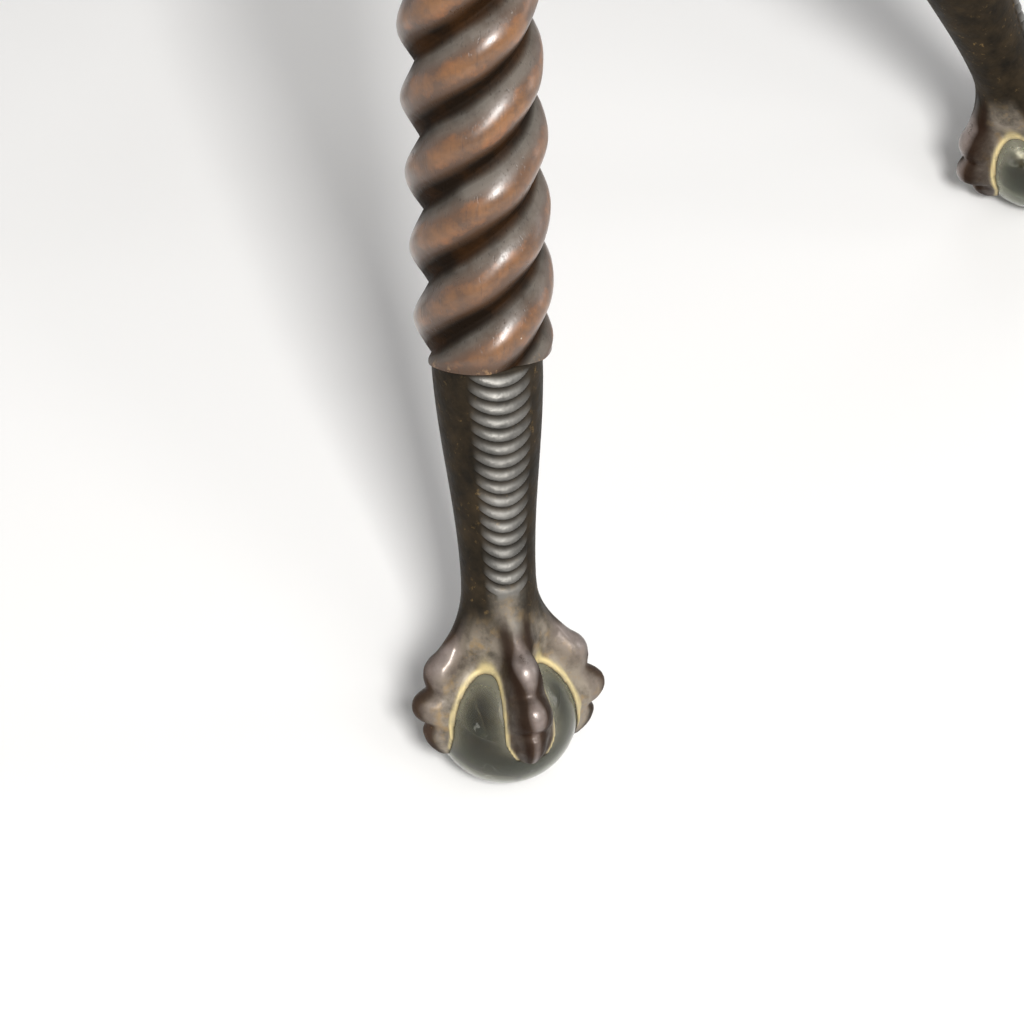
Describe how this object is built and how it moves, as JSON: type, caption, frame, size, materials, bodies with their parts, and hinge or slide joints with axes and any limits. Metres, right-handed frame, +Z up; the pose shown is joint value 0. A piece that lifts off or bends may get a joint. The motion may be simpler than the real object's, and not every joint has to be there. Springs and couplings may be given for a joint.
{
  "type": "revolving stool",
  "caption": "Screw-adjustable wooden music stool: round dished seat, turned hub and column, splayed rope-twist legs with turned stretchers, and cast bird-claw feet gripping glass balls.",
  "frame": {"origin": "centre of the bounding box at floor level, under the screw; the glass balls rest at z = 0", "axes": "+Z up along the screw; the front leg points to -Y and the right leg to +X"},
  "size_m": [0.5014, 0.5014, 0.4874],
  "materials": {
    "seat_wood": "dark-stained hardwood, worn varnish",
    "turned_wood": "dark-stained hardwood, satin varnish, worn on the high places",
    "claw_casting": "brown bronzed casting, rubbed bright on the scales",
    "ball_glass": "clear pressed glass with a grey-green tint",
    "screw_iron": "black iron, oiled",
    "screw_steel": "dull steel"
  },
  "bodies": {
    "base": {"nut_plate": "screw_iron", "nut_plate_screws": "screw_steel", "hub": "turned_wood", "column": "turned_wood", "drop_finial": "turned_wood", "leg_front": "turned_wood", "leg_right": "turned_wood", "leg_back": "turned_wood", "leg_left": "turned_wood", "stretcher_front": "turned_wood", "stretcher_right": "turned_wood", "stretcher_back": "turned_wood", "stretcher_left": "turned_wood", "claw_foot_front": "claw_casting", "claw_foot_right": "claw_casting", "claw_foot_back": "claw_casting", "claw_foot_left": "claw_casting", "glass_ball_front": "ball_glass", "glass_ball_right": "ball_glass", "glass_ball_back": "ball_glass", "glass_ball_left": "ball_glass", "foot_screws": "screw_steel"},
    "washer": {"stop_washer": "screw_steel"},
    "seat": {"seat_board_left": "seat_wood", "seat_board_middle": "seat_wood", "seat_board_right": "seat_wood", "seat_cleat": "seat_wood", "cleat_screws": "screw_steel", "seat_plate": "screw_iron", "seat_plate_screws": "screw_steel", "screw_spindle": "screw_iron", "spindle_pin": "screw_steel", "stop_screw": "screw_steel"}
  },
  "joints": [
    {"name": "seat_lift", "type": "slide", "parent": "base", "child": "washer", "axis": [0, 0, 1], "range_m": [0, 0.104]},
    {"name": "seat_turn", "type": "hinge", "parent": "washer", "child": "seat", "pos_m": [0, 0, 0.3], "axis": [0, 0, 1], "range_deg": [0, 4680]}
  ],
  "couplings": [
    {"joint": "seat_lift", "follows": "seat_turn", "m_per_rad": 0.0012732}
  ]
}
